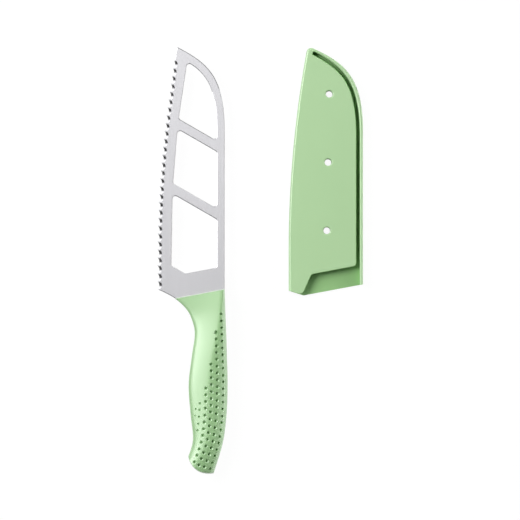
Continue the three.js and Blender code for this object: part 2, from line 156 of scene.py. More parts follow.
# Steps along the grip, and the sides of its rings: round the belly, at shares of the way from
# the ridge back to the belly, across the facet, and at shares of the lip's width
GRIP_STEPS = 44
BELLY_SIDES = 13
LEAN_PLACES = (0.56, 0.42, 0.28, 0.16, 0.07)
FACET_SIDES = 8
LIP_PLACES = (1.5, 1.2, 1, 0.85, 0.68, 0.5, 0.33, 0.18, 0.07, 0)

# Dimples
DIMPLE_PITCH = 4.25
DIMPLE_SIDES = 12
DIMPLE_RINGS = 8
SINK_OVER = 0.3
SINK_SIDES = 20
COLUMN_SAMPLES = 400
SLOPE_STEP = 0.01
# Distance in from the spine, first distance from the butt, count, then radius and depth
# of the dimple and of the countersink round it, which is left out where its depth is 0
DIMPLE_COLUMNS = [
    (2.65, 3.6, 24, (0.9, 2.2), (1.35, 0)),
    (6.3, 4.35, 21, (0.85, 2.2), (1.35, 1.2)),
    (10, 3.9, 16, (0.85, 2.2), (1.35, 0.8)),
    (13.35, 3.6, 12, (0.8, 1.8), (1.35, 0.5)),
    (17, 20, 5, (0.75, 1.2), (1.35, 0)),
    (19.4, 30.4, 2, (0.6, 0.8), (1.35, 0)),
]

# Sheath
POCKET_GAP = 0.4
SPINE_GAP = 0.7
POCKET_DEPTH = 4.4
POCKET_STEPS = 40
PLATE_WALL = 1.3
EDGE_WALL = 1.1
TIP_WALL = 2.3
RIM_WIDTH = 2.1
RIM_TIP = 1.5
RIM_TIP_POWER = 4
RIM_SWELL = 0.5
SLOT_WIDTH = 2.2
SLOT_REACH = 0.98
SLOT_ROUND = 0.99
BEAD_REACH = 0.96
BEAD_ROUND = 0.9
TOP_ROUND = 1.3
BACK_ROUND = 1.0
SHELL_STEPS = 6
SHEATH_STEPS = 48
OPENING_ROUND = 0.35
FLARE_STEPS = 4
CUT_OVER = 1
TIP_ROUND = 3
MOUTH_SETBACK = 4.85
MOUTH_STEP = 12.15
MOUTH_VERTEX = 34.4
MOUTH_RISE = 18
MOUTH_ROUND = 1.2
LEG_TOP = 29.5
LEG_ANGLE = 66
LEG_ROUND = 2.4
FOOT_ROUND = 3
DRAIN_HOLE = 4.2
DRAIN_ROUND = 0.75
DRAIN_FIRST = 39.1
DRAIN_PITCH = 42.7
DRAIN_COUNT = 3
DRAIN_INSET = 19.85
DRAIN_LEAN = 1
DRAIN_SIDES = 40
PARK_SIDE = 83.7
PARK_BACK = 2.5
SHEATH_CREASE = 32

# Drawing
CORNER_STEPS = 8
LEAST_MITRE = 0.5
CROSSING_ROUNDS = 4
MERGE_GAP = 0.002
LEVEL_GAP = 0.01
FLAT_ANGLE = 0.02

# Floor, key lamp and view
FLOOR_SIZE = 8000
FLOOR_SHIFT = 1200
KEY_PLACE = (-600, 260, 750)
KEY_SIZE = 600
KEY_WATTS = 6.4
VIEW_MIDDLE = (22.03, 18.25)
VIEW_WIDTH = 325
VIEW_LEVEL = 8
LENS = 200
SENSOR = 36

blade_low, blade_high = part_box("blade")
KNIFE_X = blade_low[0] / MM + BLADE_HEIGHT
KNIFE_Y = blade_high[1] / MM - BLADE_LENGTH
KNIFE_Z = (blade_low[2] + blade_high[2]) / 2 / MM

slant = math.tan(math.radians(BOLSTER_SLANT))


def on_knife(point, z=0):
    """A point of the knife in the frame, from the drawing's millimetres."""
    return Vector((point[0] + KNIFE_X, point[1] + KNIFE_Y, z + KNIFE_Z)) * MM


def on_sheath(point, z=0):
    """A point of the sheath in the frame, from its drawing's millimetres."""
    return Vector((point[0] + KNIFE_X + PARK_SIDE, point[1] + KNIFE_Y - PARK_BACK, z)) * MM


def mix(a, b, share):
    """The value at a share of the way from one to another."""
    return a + (b - a) * share


def passed(t, stretch):
    """The share of a stretch that lies behind a place."""
    start, length = stretch
    return max(0, min(1, (t - start) / length))


# Outlines

def rounded(corners):
    """A closed outline through (point, radius) corners, each rounded by an arc."""
    outline = []
    for i, (point, radius) in enumerate(corners):
        if radius == 0:
            outline.append(point)
            continue
        before = (corners[i - 1][0] - point).normalized()
        after = (corners[(i + 1) % len(corners)][0] - point).normalized()
        half = math.acos(max(-1, min(1, before.dot(after)))) / 2
        centre = point + (before + after).normalized() * (radius / math.sin(half))
        start = point + before * (radius / math.tan(half)) - centre
        end = point + after * (radius / math.tan(half)) - centre
        angle = math.atan2(start.y, start.x)
        turn = (math.atan2(end.y, end.x) - angle + math.pi) % (2 * math.pi) - math.pi
        for k in range(CORNER_STEPS + 1):
            way = angle + turn * k / CORNER_STEPS
            outline.append(centre + Vector((math.cos(way), math.sin(way))) * radius)
    return outline


def grown(outline, by):
    """An outline moved outwards all round."""
    area = sum(a.cross(b) for a, b in zip(outline, outline[1:] + outline[:1]))
    out = math.copysign(1, area)
    moved = []
    for i, point in enumerate(outline):
        first = (point - outline[i - 1]).normalized()
        second = (outline[(i + 1) % len(outline)] - point).normalized()
        square = Vector((first.y, -first.x)) * out
        middle = (square + Vector((second.y, -second.x)) * out).normalized()
        moved.append(point + middle * (by / max(LEAST_MITRE, middle.dot(square))))
    return moved


def meet(p, slope_p, q, slope_q):
    """Where the line through a point at a slope meets another such line."""
    x = (q.y - p.y + slope_p * p.x - slope_q * q.x) / (slope_p - slope_q)
    return Vector((x, p.y + slope_p * (x - p.x)))


def edge_at(y, out=0):
    """The line of the tooth tips, moved outwards by some distance."""
    swept = max(0, y - EDGE_STRAIGHT)
    radius = EDGE_RADIUS + out
    return Vector((radius - BLADE_HEIGHT - out - math.sqrt(radius ** 2 - swept ** 2), y))


tip = edge_at(BLADE_LENGTH)
tip_line = Vector((math.cos(math.radians(TIP_ANGLE)), -math.sin(math.radians(TIP_ANGLE))))
BEND = [
    Vector((0, SPINE_STRAIGHT)),
    Vector((0, SPINE_STRAIGHT + SPINE_SWEEP)),
    tip + tip_line * TIP_SWEEP,
    tip,
]


def spine_line(out_at, steps, end=1):
    """The bent part of the spine, moved outwards by a distance that may change along it."""
    points = []
    for i in range(steps + 1):
        t = end * i / steps
        s = 1 - t
        place = BEND[0] * s ** 3 + BEND[1] * 3 * s * s * t + BEND[2] * 3 * s * t * t + BEND[3] * t ** 3
        way = (BEND[1] - BEND[0]) * s * s + (BEND[2] - BEND[1]) * 2 * s * t + (BEND[3] - BEND[2]) * t * t
        way.normalize()
        points.append(place + Vector((way.y, -way.x)) * out_at(t))
    return points


def edge_line(out_at, steps):
    """The swept part of the edge, moved outwards likewise."""
    sweep = BLADE_LENGTH - EDGE_STRAIGHT
    return [edge_at(EDGE_STRAIGHT + sweep * i / steps, out_at(i / steps)) for i in range(steps + 1)]


def blade_outline():
    """From the shoulder along the spine, back along the edge and round the choil."""
    shoulder = GRIP_FRONT - SHOULDER_SHORT
    start = Vector((0, -SHOULDER_SUNK))
    end = Vector((-shoulder, -SHOULDER_SUNK - slant * shoulder))
    choil = Vector((-GRIP_FRONT, -slant * GRIP_FRONT))
    heel = Vector((-BLADE_HEIGHT, 0))
    bow = (heel + choil) / 2 + Vector((CHOIL_BOW, CHOIL_BOW))
    curve = []
    for i in range(CHOIL_STEPS + 1):
        t = i / CHOIL_STEPS
        curve.append(heel * (1 - t) ** 2 + bow * 2 * t * (1 - t) + choil * t * t)
    return [
        start,
        *spine_line(lambda t: 0, SPINE_STEPS),
        *edge_line(lambda t: 0, EDGE_STEPS)[-2::-1],
        *curve,
        end,
    ]


base_y = BASE_BAND / math.cos(math.radians(BOLSTER_SLANT))
strut_slope = -math.tan(math.radians(STRUT_ANGLE))
strut_half = STRUT_WIDTH / 2 / math.cos(math.radians(STRUT_ANGLE))
strut_x = (edge_at(0).x + EDGE_STRIP_HEEL - SPINE_STRIP) / 2


def strip_at(y):
    """The inner side of the edge strip."""
    share = (y - base_y) / (BLADE_LENGTH - base_y)
    return edge_at(y) + Vector((mix(EDGE_STRIP_HEEL, EDGE_STRIP_TIP, share), 0))


def crossing(point, slope):
    """Where a slanted line meets the edge strip and the spine strip."""
    left = strip_at(point.y)
    for _ in range(CROSSING_ROUNDS):
        left = strip_at(point.y + slope * (left.x - point.x))
    return left, Vector((-SPINE_STRIP, point.y + slope * (-SPINE_STRIP - point.x)))


def strut_at(i, side):
    """The middle of a strut's lower or upper side."""
    return Vector((strut_x, STRUT_FIRST + STRUT_PITCH * i + side * strut_half))


def window_outlines():
    """The windows next to the handle, in the middle and behind the tip."""
    low, low_right = crossing(Vector((0, base_y)), slant)
    left, right = crossing(strut_at(0, -1), strut_slope)
    foot = Vector((low.x + BASE_CORNER, low.y + slant * BASE_CORNER))
    heel = [foot, low_right, right, left, Vector((low.x, foot.y + strut_slope * (low.x - foot.x)))]

    left, right = crossing(strut_at(0, 1), strut_slope)
    high_left, high_right = crossing(strut_at(1, -1), strut_slope)
    middle = [left, right, high_right, high_left]

    left, right = crossing(strut_at(1, 1), strut_slope)
    bend = spine_line(lambda t: -mix(SPINE_STRIP, BEND_STRIP, passed(t, STRIP_TURN)), BEND_SAMPLES)
    bend = [p for p in bend if p.x > strip_at(p.y).x]
    side = [p for p in bend[::BEND_SKIP] if (p - bend[-1]).length > CORNER_ROOM]
    corner = [(left, WINDOW_RADIUS), (right, WINDOW_RADIUS)]
    front = corner + [(p, 0) for p in side] + [(bend[-1], WINDOW_RADIUS)]
    outlines = [rounded([(p, WINDOW_RADIUS) for p in shape]) for shape in (heel, middle)]
    return [*outlines, rounded(front)]


# Drawing and shaping by hand tools

def begin(name):
    """Starts an empty piece at the origin and opens it for editing."""
    bpy.ops.object.select_all(action='DESELECT')
    bpy.ops.mesh.primitive_plane_add(size=MM)
    piece = bpy.context.active_object
    piece.name = name
    piece.data.name = name
    bpy.ops.object.mode_set(mode='EDIT')
    bpy.context.tool_settings.mesh_select_mode = (True, False, False)
    bpy.ops.mesh.delete(type='VERT')
    return piece


def trace(points):
    """Draws a closed line by pulling one corner out of the last."""
    bpy.ops.mesh.primitive_plane_add(size=MM, location=points[0])
    bpy.ops.mesh.merge(type='CENTER')
    for start, end in zip(points, [*points[1:], points[0]]):
        bpy.ops.mesh.extrude_region_move(TRANSFORM_OT_translate={"value": end - start})


def close_lines():
    """Merges the corners that lie on each other and selects all."""
    bpy.ops.mesh.select_all(action='SELECT')
    bpy.ops.mesh.remove_doubles(threshold=MERGE_GAP * MM)


def fill_in():
    """Fills the drawn lines with as few faces as the holes between them allow."""
    bpy.ops.mesh.fill(use_beauty=False)
    bpy.ops.mesh.dissolve_limited(angle_limit=math.radians(FLAT_ANGLE))


def pick_faces(test):
    """Selects the faces whose normal and middle pass a test."""
    bpy.context.tool_settings.mesh_select_mode = (False, False, True)
    bpy.ops.mesh.select_all(action='DESELECT')
    mesh = bpy.context.edit_object.data
    form = bmesh.from_edit_mesh(mesh)
    form.normal_update()
    for face in form.faces:
        face.select_set(test(face.normal, face.calc_center_median()))
    bmesh.update_edit_mesh(mesh)


def pull(height):
    """Pulls the selected faces straight up, or down."""
    bpy.ops.mesh.extrude_region_move(TRANSFORM_OT_translate={"value": (0, 0, height * MM)})


def step_in(inward, rise):
    """Insets the selected faces and lifts them."""
    bpy.ops.mesh.inset(thickness=inward * MM, depth=0, use_even_offset=True)
    bpy.ops.transform.translate(value=(0, 0, rise * MM))


def quarter(steps):
    """The steps round a quarter circle, each from one angle to the next."""
    turns = [math.pi / 2 * i / steps for i in range(steps + 1)]
    return zip(turns, turns[1:])


def round_over(radius, steps, way):
    """Rounds the rim of the selected faces, which end up a radius higher or lower."""
    for a, b in quarter(steps):
        step_in(radius * (math.cos(a) - math.cos(b)), way * radius * (math.sin(b) - math.sin(a)))


def flare_in(radius, steps):
    """Narrows a cutter downwards round a quarter circle, so that it leaves a rounded rim."""
    for a, b in quarter(steps):
        step_in(radius * (math.sin(b) - math.sin(a)), -radius * (math.cos(a) - math.cos(b)))


def face_out():
    """Turns all faces outwards."""
    bpy.ops.mesh.select_all(action='SELECT')
    bpy.ops.mesh.normals_make_consistent(inside=False)


def close_up():
    """Turns all faces outwards and leaves the piece."""
    face_out()
    bpy.ops.object.mode_set(mode='OBJECT')


def slab(name, outlines, place, low, high, low_round=0, high_round=0, steps=0):
    """A plate from outlines, the later ones holes, with its rims rounded."""
    piece = begin(name)
    for outline in outlines:
        trace([place(p, low + low_round) for p in outline])
    close_lines()
    fill_in()
    pull(high - high_round - low - low_round)
    if high_round:
        round_over(high_round, steps, 1)
    if low_round:
        face_out()
        low_z = place(outlines[0][0], low + low_round).z
        pick_faces(lambda n, c: abs(c.z - low_z) < LEVEL_GAP * MM)
        round_over(low_round, steps, -1)
    close_up()
    return piece


def only(piece):
    """Selects one piece and nothing else."""
    bpy.ops.object.select_all(action='DESELECT')
    piece.select_set(True)
    bpy.context.view_layer.objects.active = piece


def open_up(piece):
    """Opens a piece for editing again."""
    only(piece)
    bpy.ops.object.mode_set(mode='EDIT')


def combine(piece, other, operation, materials):
    """Joins another piece on or cuts it out, and throws it away."""
    only(piece)
    tool = piece.modifiers.new("combine", 'BOOLEAN')
    tool.operation = operation
    tool.solver = 'MANIFOLD'
    tool.material_mode = materials
    tool.object = other
    bpy.ops.object.modifier_apply(modifier=tool.name)
    only(other)
    bpy.ops.object.delete()


def cut(piece, cutter):
    """Cuts a cutter out of a piece, and its material stays on the cut faces."""
    combine(piece, cutter, 'DIFFERENCE', 'TRANSFER')


def join(piece, other):
    """Joins another piece on, in the first material."""
    combine(piece, other, 'UNION', 'INDEX')


def smooth(piece, angle, weighted):
    """Shades a piece smooth, with sharp lines where faces meet at more than an angle."""
    only(piece)
    bpy.ops.object.shade_smooth_by_angle(angle=math.radians(angle))
    if weighted:
        tool = piece.modifiers.new("flat faces", 'WEIGHTED_NORMAL')
        tool.keep_sharp = True
        tool.weight = 100
        bpy.ops.object.modifier_apply(modifier=tool.name)


# Materials

class Wire:
    """A socket whose sums and products add Math nodes to its tree."""

    def __init__(self, tree, socket):
        self.tree = tree
        self.socket = socket

    def reckon(self, operation, first, second):
        return node(self.tree, 'ShaderNodeMath', {"operation": operation}, {0: first, 1: second})

    def __add__(self, other):
        return self.reckon('ADD', self, other)

    def __radd__(self, other):
        return self.reckon('ADD', other, self)

    def __sub__(self, other):
        return self.reckon('SUBTRACT', self, other)

    def __rsub__(self, other):
        return self.reckon('SUBTRACT', other, self)

    def __mul__(self, other):
        return self.reckon('MULTIPLY', self, other)

    def __rmul__(self, other):
        return self.reckon('MULTIPLY', other, self)


def node(tree, kind, settings, inputs, out=0):
    """Adds a node: its settings first, then the values or wires of its sockets."""
    made = tree.nodes.new(kind)
    for key, value in settings.items():
        setattr(made, key, value)
    for key, value in inputs.items():
        if isinstance(value, Wire):
            tree.links.new(value.socket, made.inputs[key])
        else:
            made.inputs[key].default_value = value
    return Wire(tree, made.outputs[out])


def blank(name):
    """A new material with its shader, ready for wires."""
    material = bpy.data.materials.new(name)
    material.use_nodes = True
    tree = material.node_tree
    return material, tree, tree.nodes["Principled BSDF"]


def grain(tree, scale, detail, roughness=0.55, stretch=(1, 1, 1)):
    """Noise over the piece's own coordinates, stretched by a mapping."""
    place = node(tree, 'ShaderNodeTexCoord', {}, {}, "Object")
    place = node(tree, 'ShaderNodeMapping', {}, {"Vector": place, "Scale": stretch})
    inputs = {"Vector": place, "Scale": scale, "Detail": detail, "Roughness": roughness}
    return node(tree, 'ShaderNodeTexNoise', {}, inputs)


def tint(tree, share, dark, pale):
    """A colour between a dark and a pale one."""
    inputs = {"Factor": share, 6: (*dark, 1), 7: (*pale, 1)}
    return node(tree, 'ShaderNodeMix', {"data_type": 'RGBA'}, inputs, 2)


def bump(tree, height, strength, depth):
    """A surface that rises and falls with a wire by some depth."""
    inputs = {"Strength": strength, "Distance": depth * MM, "Height": height}
    return node(tree, 'ShaderNodeBump', {}, inputs)


def wire_up(tree, shader, colour, rough, normal):
    """Leads what changes over the surface to the shader."""
    for key, wire in (("Base Color", colour), ("Roughness", rough), ("Normal", normal)):
        tree.links.new(wire.socket, shader.inputs[key])


def steel(name, dark, pale, rough, spread, stretch):
    """Steel with fine lines, stretched along the way it was brushed, ground or sheared."""
    material, tree, shader = blank(name)
    shader.inputs["Metallic"].default_value = 1
    lines = grain(tree, scale=60, detail=6, roughness=0.6, stretch=stretch)
    cloud = grain(tree, scale=40, detail=2)
    wire_up(
        tree,
        shader,
        colour=tint(tree, lines * 0.6 + cloud * 0.4, dark, pale),
        rough=rough + spread * (lines - 0.5) * 2,
        normal=bump(tree, lines, strength=0.12, depth=0.02),
    )
    return material


def plastic(name, dark, pale, rough, spread, pebble, depth, gloss=1, coat=0.4):
    """Moulded plastic with a cloudy colour and a pebbled skin under a soft coat."""
    material, tree, shader = blank(name)
    shader.inputs["IOR"].default_value = 1.58
    shader.inputs["Specular IOR Level"].default_value = gloss
    shader.inputs["Coat Weight"].default_value = coat * gloss
    shader.inputs["Coat Roughness"].default_value = 0.4
    cloud = grain(tree, scale=30, detail=3)
    fine = grain(tree, scale=pebble, detail=2, roughness=0.5)
    wire_up(
        tree,
        shader,
        colour=tint(tree, cloud * 0.7 + fine * 0.3, dark, pale),
        rough=rough + spread * (fine * 0.5 + cloud * 0.5 - 0.5) * 2,
        normal=bump(tree, fine, strength=0.25, depth=depth),
    )
    return material


def grip_plastic(name, rough):
    """The grip's green, which is the same in its countersinks but for the roughness."""
    return plastic(
        name,
        dark=(0.285, 0.515, 0.222),
        pale=(0.315, 0.55, 0.247),
        rough=rough,
        spread=0.05,
        pebble=1700,
        depth=0.05,
        coat=1,
    )


blade_steel = steel(
    "blade_steel",
    dark=(0.73, 0.725, 0.755),
    pale=(0.87, 0.865, 0.89),
    rough=0.21,
    spread=0.03,
    stretch=(20, 0.5, 1),
)
# The chamfers that face the spine take a pale shader without metal: a painted highlight for the light
# that catches that side
painted_highlight_rim = plastic(
    "painted_highlight_rim",
    dark=(0.56, 0.56, 0.57),
    pale=(0.62, 0.62, 0.63),
    rough=0.6,
    spread=0.04,
    pebble=3200,
    depth=0.02,
    gloss=0.2,
)
# The chamfers take a rougher steel whose darker colour is painted shade, so that they show as grey lines
# round the plate and its windows
rim_shaded_steel = steel(
    "rim_shaded_steel",
    dark=(0.46, 0.46, 0.47),
    pale=(0.54, 0.54, 0.55),
    rough=0.45,
    spread=0.04,
    stretch=(1, 1, 20),
)
# Upright sheared sides take this darker, rougher steel; on the chamfers that face the butt the same
# darker steel is painted shade
sheared_and_shaded_steel = steel(
    "sheared_and_shaded_steel",
    dark=(0.24, 0.24, 0.25),
    pale=(0.34, 0.34, 0.35),
    rough=0.5,
    spread=0.04,
    stretch=(1, 1, 20),
)
ground_steel = steel(
    "ground_steel",
    dark=(0.74, 0.74, 0.76),
    pale=(0.88, 0.88, 0.90),
    rough=0.2,
    spread=0.03,
    stretch=(1, 40, 1),
)
grip_green = grip_plastic("grip_green", rough=0.46)
sink_green = grip_plastic("sink_green", rough=0.4)
sheath_green = plastic(
    "sheath_green",
    dark=(0.39, 0.625, 0.31),
    pale=(0.42, 0.655, 0.335),
    rough=0.44,
    spread=0.05,
    pebble=3200,
    depth=0.04,
)
# Inside the pocket, slot and mouth the sheath takes a copy of its green that is deeper and almost
# without gloss: painted shade for the recesses
inside_shaded_green = plastic(
    "inside_shaded_green",
    dark=(0.355, 0.645, 0.27),
    pale=(0.385, 0.675, 0.295),
    rough=0.8,
    spread=0.04,
    pebble=3200,
    depth=0.04,
    gloss=0.1,
)


# Blade

def make_gouges(first):
    """Round cutters laid square to the edge and tilted up into the blade, every second one."""
    cutter = begin("gouges")
    line = [edge_at(i * EDGE_SAMPLE) for i in range(int(BLADE_LENGTH / EDGE_SAMPLE) + 1)]
    ways = [0]
    for a, b in zip(line, line[1:]):
        ways.append(ways[-1] + (b - a).length)
    count = math.floor((ways[-1] - PLAIN_TIP) / GOUGE_PITCH)
    tilt = math.radians(GOUGE_TILT)
    for i in range(first, count, 2):
        depth = GULLET_DEPTH * min(1, FAINT_START + FAINT_STEP * (count - 1 - i))
        reach = GOUGE_RADIUS / math.sin(tilt) - depth
        goal = (i + 0.5) * GOUGE_PITCH
        k = max(j for j, way in enumerate(ways) if way <= goal)
        along = (line[k + 1] - line[k]).normalized()
        place = line[k] + along * (goal - ways[k])
        inward = Vector((along.y, -along.x))
        axis = Vector((inward.x * math.cos(tilt), inward.y * math.cos(tilt), math.sin(tilt)))
        bpy.ops.mesh.primitive_cylinder_add(
            vertices=GOUGE_SIDES,
            radius=GOUGE_RADIUS * MM,
            depth=BLADE_HEIGHT / 2 * MM,
            location=on_knife(place - inward * reach, -BLADE_THICKNESS / 2),
            rotation=axis.to_track_quat('Z', 'Y').to_euler(),
        )
    close_up()
    cutter.data.materials.append(ground_steel)
    return cutter


def make_tang():
    """The thin strip that runs from the plate into the handle."""
    left = -TANG_INSET - TANG_WIDTH
    half = TANG_THICKNESS / 2
    outline = rounded([
        (Vector((left, -TANG_LENGTH)), TANG_ROUND),
        (Vector((-TANG_INSET, -TANG_LENGTH)), TANG_ROUND),
        (Vector((-TANG_INSET, TANG_LAP)), 0),
        (Vector((left, TANG_LAP)), 0),
    ])
    return slab("tang", [outline], on_knife, -half, half)


def finish_rims(piece, face_z):
    """Chamfers the upper rims and gives the rims and sheared sides their own materials: a darker steel
    on the rims as painted shade, a darker still steel on the sheared sides and, as painted shade, on the
    rims facing the butt, and a pale shader as painted highlight on the rims facing the spine.
    """
    open_up(piece)
    pick_faces(lambda n, c: c.z > face_z - LEVEL_GAP * MM)
    step_in(FACE_BREAK, FACE_FALL)
    bend_y = on_knife((0, SPINE_STRAIGHT)).y

    def sloped(n, c):
        return UPRIGHT < n.z < FLAT

    # Upright sheared sides, and rims that face the butt, which take painted shade
    def sheared(n, c):
        return abs(n.z) < UPRIGHT or n.z < FLAT and n.y < -TO_BUTT

    # Rims that face the spine, which take the painted highlight
    def lit(n, c):
        return sloped(n, c) and n.x > TO_SPINE and (n.y < TO_TIP or c.y < bend_y)

    for material, test in ((rim_shaded_steel, sloped), (sheared_and_shaded_steel, sheared), (painted_highlight_rim, lit)):
        piece.data.materials.append(material)
        pick_faces(test)
        piece.active_material_index = len(piece.data.materials) - 1
        bpy.ops.object.material_slot_assign()
    bpy.ops.object.mode_set(mode='OBJECT')


def make_blade():
    half = BLADE_THICKNESS / 2
    face = half - FACE_FALL
    outlines = [blade_outline(), *window_outlines()]
    piece = slab("blade_plate", outlines, on_knife, -half, face, low_round=RIM_BREAK, steps=RIM_STEPS)
    piece.data.materials.append(blade_steel)
    finish_rims(piece, on_knife((0, 0), face).z)
    join(piece, make_tang())
    for first in (0, 1):
        cut(piece, make_gouges(first))
    smooth(piece, BLADE_CREASE, True)
    return piece


# Handle

front_lead = -slant * GRIP_FRONT

# Share of the length, spine offset, spine to belly, belly lead, share of thickness, ridge place
SECTIONS = [
    (0, 0, GRIP_FRONT, front_lead, 0.8, 0.96),
    (0.045, SPINE_RISE * 0.11, GRIP_WAIST * 1.27, front_lead * 1.07, 0.86, 0.92),
    (0.115, SPINE_RISE * 0.22, GRIP_WAIST * 1.09, front_lead * 0.74, 0.91, 0.85),
    (0.234, SPINE_RISE * 0.54, GRIP_WAIST, front_lead * 0.1, 0.98, 0.72),
    (0.368, SPINE_RISE * 0.78, (GRIP_WAIST + GRIP_SWELL) / 2, 0, 1, 0.59),
    (0.519, SPINE_RISE, GRIP_SWELL, 0, 1, 0.52),
    (0.684, SPINE_RISE * 0.62, (GRIP_SWELL * 2 + GRIP_NECK) / 3, BUTT_LEAD * 0.1, 1, 0.48),
    (0.835, -BUTT_DROP * 0.17, GRIP_NECK, BUTT_LEAD * 0.23, 0.98, 0.44),
    (1, -BUTT_DROP, GRIP_BUTT, BUTT_LEAD, 0.9, 0.36),
]
SPINE_SIDE = [Vector((out, -at * GRIP_LENGTH)) for at, out, *_ in SECTIONS]
BELLY_SIDE = [Vector((out - deep, lead - at * GRIP_LENGTH)) for at, out, deep, lead, *_ in SECTIONS]
HALF_RIDGE = [Vector((share * GRIP_THICKNESS / 2, ridge)) for *_, share, ridge in SECTIONS]


def spline(points, t):
    """A smooth line through points, at a share of the way."""
    last = len(points) - 1
    place = min(max(t, 0), 1) * last
    i = min(int(place), last - 1)
    w = place - i
    a, b, c, d = (points[min(max(k, 0), last)] for k in (i - 1, i, i + 1, i + 2))
    leave = (c - a) / 2
    arrive = (d - b) / 2
    square = (c - b) * 3 - leave * 2 - arrive
    cube = (b - c) * 2 + leave + arrive
    return b + leave * w + square * w * w + cube * w ** 3


def grip_width(t):
    """Straight across from the belly to the spine."""
    return (spline(SPINE_SIDE, t) - spline(BELLY_SIDE, t)).length


def facet_widths(t):
    """The width of the facet from ridge to spine, and of the lip along the spine."""
    reach = grip_width(t) * (1 - spline(HALF_RIDGE, t).y)
    return reach, min(SPINE_LIP, LIP_WIDEST * reach)


def plan_point(t, u):
    """The point in plan at a share of the length and of the way from belly to spine."""
    belly = spline(BELLY_SIDE, t)
    across = spline(SPINE_SIDE, t) - belly
    back = Vector((across.y, -across.x)).normalized()
    return belly + across * u + back * (BUTT_BULGE * t ** BULGE_POWER * 4 * u * (1 - u))


def belly_power(t):
    """How square the belly is."""
    return mix(BELLY_FRONT_POWER, BELLY_POWER, passed(t, BELLY_TURN))


def face_height(t, u):
    """The height of the face: leaning to a round belly, and a leaning facet towards the spine."""
    half, ridge = spline(HALF_RIDGE, t)
    if u <= ridge:
        side = min(1, (ridge - u) / ridge)
        lean = BELLY_LEAN * mix(FRONT_LEAN, 1, passed(t, LEAN_TURN))
        bow = mix(BELLY_BOW, BUTT_BOW, passed(t, BOW_TURN))
        power = belly_power(t)
        return half * (1 - lean * side ** bow) * (1 - side ** power) ** (1 / power)
    reach, lip = facet_widths(t)
    side = min(1, (u - ridge) / (1 - ridge))
    power = mix(FACET_FRONT_POWER, FACET_BUTT_POWER, passed(t, FACET_TURN))
    drop = reach * math.tan(math.radians(FACET_SLOPE)) * side ** power
    facet = half - min(drop, FACET_DEEPEST * half)
    inset = min(1, (1 - side) * reach / lip)
    return facet * (1 - (1 - inset) ** LIP_POWER) ** (1 / LIP_POWER)


def face_point(t, u):
    """A point on the face: its place in plan and its height."""
    return plan_point(t, u), face_height(t, u)


def grip_ring(t, lowered):
    """One closed ring of points round the grip, with its faces lowered by some distance."""
    half, ridge = spline(HALF_RIDGE, t)
    reach, lip = facet_widths(t)
    lip_share = lip / reach
    turns = [math.pi / 2 * i / BELLY_SIDES for i in range(BELLY_SIDES)]
    sides = [math.cos(turn) ** (2 / belly_power(t)) for turn in turns]
    places = [ridge * (1 - side) for side in (*sides, *LEAN_PLACES)]
    for i in range(FACET_SIDES):
        places.append(1 - (1 - ridge) * mix(1, LIP_PLACES[0] * lip_share, i / FACET_SIDES))
    places += [1 - (1 - ridge) * lip_share * share for share in LIP_PLACES]
    flat = (half - lowered) / half
    face = [(plan_point(t, u), face_height(t, u) * flat) for u in places]
    upper = [on_knife(p, z) for p, z in face]
    lower = [on_knife(p, -z) for p, z in face[-2:0:-1]]
    return upper + lower


def column_places(inset, first, count):
    """Shares of length and width at which one column's dimples sit, stepped off from the butt."""
    places = []
    for i in range(COLUMN_SAMPLES, -1, -1):
        t = i / COLUMN_SAMPLES
        places.append((t, 1 - inset / grip_width(t)))
    points = [face_point(t, u) for t, u in places]
    ways = [0]
    for (p, pz), (q, qz) in zip(points, points[1:]):
        ways.append(ways[-1] + math.hypot(q.x - p.x, q.y - p.y, qz - pz))
    goals = [first + DIMPLE_PITCH * k for k in range(count)]
    return [min(zip(ways, places), key=lambda pair: abs(pair[0] - goal))[1] for goal in goals]


def outward(t, u, side):
    """The way square to the upper or the lower face."""
    lengthwise = [face_point(t + d, u) for d in (-SLOPE_STEP, SLOPE_STEP)]
    widthwise = [face_point(t, u + d) for d in (-SLOPE_STEP, SLOPE_STEP)]
    a, b = (Vector((*(q - p), qz - pz)) for (p, pz), (q, qz) in (lengthwise, widthwise))
    out = a.cross(b).normalized()
    out *= math.copysign(1, out.z)
    out.z *= side
    return out


def add_dimple(centre, out, radius, depth):
    """A long ball, half sunk in the face."""
    bpy.ops.mesh.primitive_uv_sphere_add(
        segments=DIMPLE_SIDES,
        ring_count=DIMPLE_RINGS,
        radius=radius * MM,
        location=centre,
        rotation=out.to_track_quat('Z', 'Y').to_euler(),
        scale=(1, 1, depth / radius),
    )


def add_sink(centre, out, radius, depth):
    """A cone, point down, that stands a little over the face."""
    bpy.ops.mesh.primitive_cone_add(
        vertices=SINK_SIDES,
        radius1=0,
        radius2=radius * (1 + SINK_OVER) * MM,
        depth=depth * (1 + SINK_OVER) * MM,
        location=centre - out * (depth * (1 - SINK_OVER) / 2 * MM),
        rotation=out.to_track_quat('Z', 'Y').to_euler(),
    )


def make_dimples(side, kind):
    """Cutters for the dimples, kind 0, or the countersinks, kind 1, of one face of the grip."""
    add, material = ((add_dimple, grip_green), (add_sink, sink_green))[kind]
    cutter = begin("dimples")
    for inset, first, count, *kinds in DIMPLE_COLUMNS:
        radius, depth = kinds[kind]
        if not depth:
            continue
        for t, u in column_places(inset, first, count):
            place, height = face_point(t, u)
            add(on_knife(place, height * side), outward(t, u, side), radius, depth)
    close_up()
    cutter.data.materials.append(material)
    return cutter


def sharpen_sinks(piece):
    """Marks the rims of the countersinks sharp."""
    open_up(piece)
    bpy.context.tool_settings.mesh_select_mode = (False, False, True)
    bpy.ops.mesh.select_all(action='DESELECT')
    piece.active_material_index = piece.data.materials.find("sink_green")
    bpy.ops.object.material_slot_select()
    bpy.ops.mesh.region_to_loop()
    bpy.ops.mesh.mark_sharp()
    bpy.ops.object.mode_set(mode='OBJECT')


